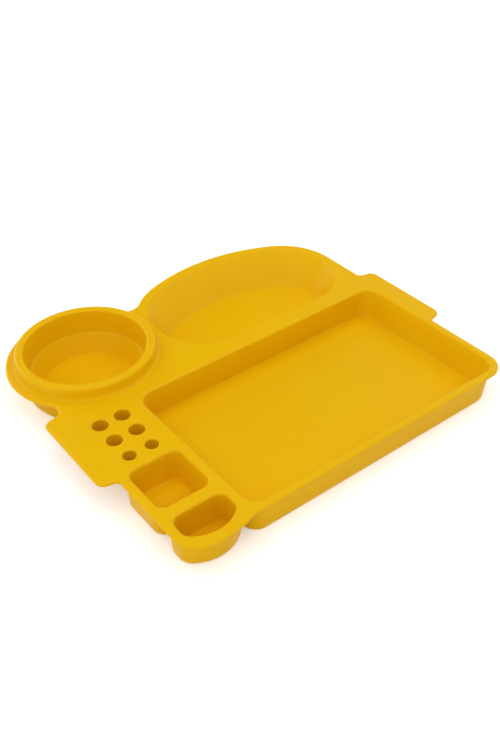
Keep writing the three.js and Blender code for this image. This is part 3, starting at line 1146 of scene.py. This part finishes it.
@dataclass(frozen=True)
class PaleFloor:
    """A matt white table that reads as plain white to the camera and keeps the tray's shadow."""

    shade_hex: str = "#F4F4F2"
    roughness: float = 0.9
    lift: float = 0.34  # glow that only the camera, mirrors and glass see
    reach: float = 6.0  # metres
    clearance: float = 0.0002  # metres, keeps it out of the plane of the tray's feet

    def build(self) -> None:
        """Lay the floor under the tray."""
        deselect()
        bpy.ops.mesh.primitive_plane_add(size=self.reach, location=(0, 0, -self.clearance))
        floor = bpy.context.active_object
        floor.name = "floor"
        material = bpy.data.materials.new("matt_white_table")
        material.use_nodes = True
        tree = material.node_tree
        tree.nodes.clear()
        path = add_node(tree, "ShaderNodeLightPath", {})
        direct = add_node(
            tree,
            "ShaderNodeMath",
            {0: path.outputs["Is Camera Ray"], 1: path.outputs["Is Glossy Ray"]},
            operation="MAXIMUM",
        ).outputs["Value"]
        seen = add_node(
            tree,
            "ShaderNodeMath",
            {0: direct, 1: path.outputs["Is Transmission Ray"]},
            operation="MAXIMUM",
        ).outputs["Value"]
        lift = add_node(tree, "ShaderNodeMath", {0: seen, 1: self.lift}, operation="MULTIPLY")
        shader = add_node(
            tree,
            "ShaderNodeBsdfPrincipled",
            {
                "Base Color": linear(self.shade_hex),
                "Roughness": self.roughness,
                "Emission Color": WHITE,
                "Emission Strength": lift.outputs["Value"],
            },
        )
        add_node(tree, "ShaderNodeOutputMaterial", {"Surface": shader.outputs["BSDF"]})
        floor.data.materials.append(material)


@dataclass(frozen=True)
class Softbox:
    """A square or oblong studio lamp, in metres and watts."""

    name: str
    place: tuple[float, float, float]
    size: tuple[float, float]
    power: float

    def build(self, target: Vector) -> None:
        """Hang the lamp and aim it.

        Args:
            target: Where it points.
        """
        lamp = bpy.data.lights.new(self.name, "AREA")
        lamp.shape = "RECTANGLE"
        lamp.size, lamp.size_y = self.size
        lamp.energy = self.power
        holder = bpy.data.objects.new(self.name, lamp)
        bpy.context.scene.collection.objects.link(holder)
        holder.location = self.place
        holder.rotation_euler = (target - Vector(self.place)).to_track_quat("-Z", "Y").to_euler()


@dataclass(frozen=True)
class Camera:
    """The photograph's viewpoint, in the frame's axes."""

    place_mm: tuple[float, float, float] = (-388.5, -537.8, 532.0)
    focal_px: float = 924.5
    yaw: float = math.radians(36.23)
    pitch: float = math.radians(38.32)
    roll: float = math.radians(-1.81)
    picture_height_px: float = 750.0
    sensor_mm: float = 36.0

    def build(self) -> None:
        """Set up the camera."""
        data = bpy.data.cameras.new("viewpoint")
        data.sensor_width = self.sensor_mm
        data.lens = self.focal_px * self.sensor_mm / self.picture_height_px
        camera = bpy.data.objects.new("viewpoint", data)
        bpy.context.scene.collection.objects.link(camera)
        level = math.cos(self.pitch)
        ahead = Vector((math.sin(self.yaw) * level, math.cos(self.yaw) * level, -math.sin(self.pitch)))
        across = Vector((math.cos(self.yaw), -math.sin(self.yaw), 0))
        above = across.cross(ahead)
        right = across * math.cos(self.roll) + above * math.sin(self.roll)
        up = above * math.cos(self.roll) - across * math.sin(self.roll)
        turn = Matrix((right, up, -ahead)).transposed().to_4x4()
        camera.matrix_world = Matrix.Translation(Vector(self.place_mm) * MM) @ turn
        bpy.context.scene.camera = camera


@dataclass(frozen=True)
class Studio:
    """Plain soft light in a white cove with a dim ceiling."""

    horizon: float = 1.3
    ceiling: float = 0.0
    cove_low: float = 0.05  # sine of the elevation where the white cove starts to fade
    cove_high: float = 0.3  # and where it has faded
    aim: tuple[float, float, float] = (0.0, 0.0, 0.0)  # where the lamps point
    lamps: tuple[Softbox, ...] = (
        Softbox("top_softbox", (0.0, -0.6, 4.0), (9.0, 7.0), 237.0),
        Softbox("left_softbox", (-2.75, -0.2, 1.4), (2.4, 2.4), 18.0),
        Softbox("front_softbox", (-0.2, -2.75, 1.4), (2.4, 2.4), 11.0),
        Softbox("right_softbox", (2.75, 0.2, 1.4), (2.4, 2.4), 15.0),
        Softbox("back_softbox", (-0.6, 2.75, 1.4), (2.0, 2.0), 29.0),
        Softbox("corner_softbox", (2.3, 1.5, 1.3), (1.2, 1.2), 4.0),
    )

    def build(self) -> None:
        """Light the scene."""
        world = bpy.data.worlds.new("studio")
        world.use_nodes = True
        tree = world.node_tree
        tree.nodes.clear()
        direction = add_node(tree, "ShaderNodeTexCoord", {}).outputs["Generated"]
        height = add_node(tree, "ShaderNodeSeparateXYZ", {"Vector": direction}).outputs["Z"]
        glow = add_node(
            tree,
            "ShaderNodeMapRange",
            {
                "Value": height,
                "From Min": self.cove_low,
                "From Max": self.cove_high,
                "To Min": self.horizon,
                "To Max": self.ceiling,
            },
            interpolation_type="SMOOTHSTEP",
        )
        sky = add_node(
            tree, "ShaderNodeBackground", {"Color": WHITE, "Strength": glow.outputs["Result"]}
        )
        add_node(tree, "ShaderNodeOutputWorld", {"Surface": sky.outputs["Background"]})
        bpy.context.scene.world = world
        for lamp in self.lamps:
            lamp.build(Vector(self.aim))
        bpy.context.scene.view_settings.view_transform = "Standard"


def main() -> None:
    """Build the tray and its studio."""
    logging.basicConfig(level=logging.INFO, format="%(message)s")
    moulding = TrayMoulding()
    tray = moulding.build()
    moulding.dress(tray, MouldedPolypropylene())
    LOG.info("%s: %d faces", tray.name, len(tray.data.polygons))
    PaleFloor().build()
    Studio().build()
    Camera().build()


if __name__ == "__main__":
    main()
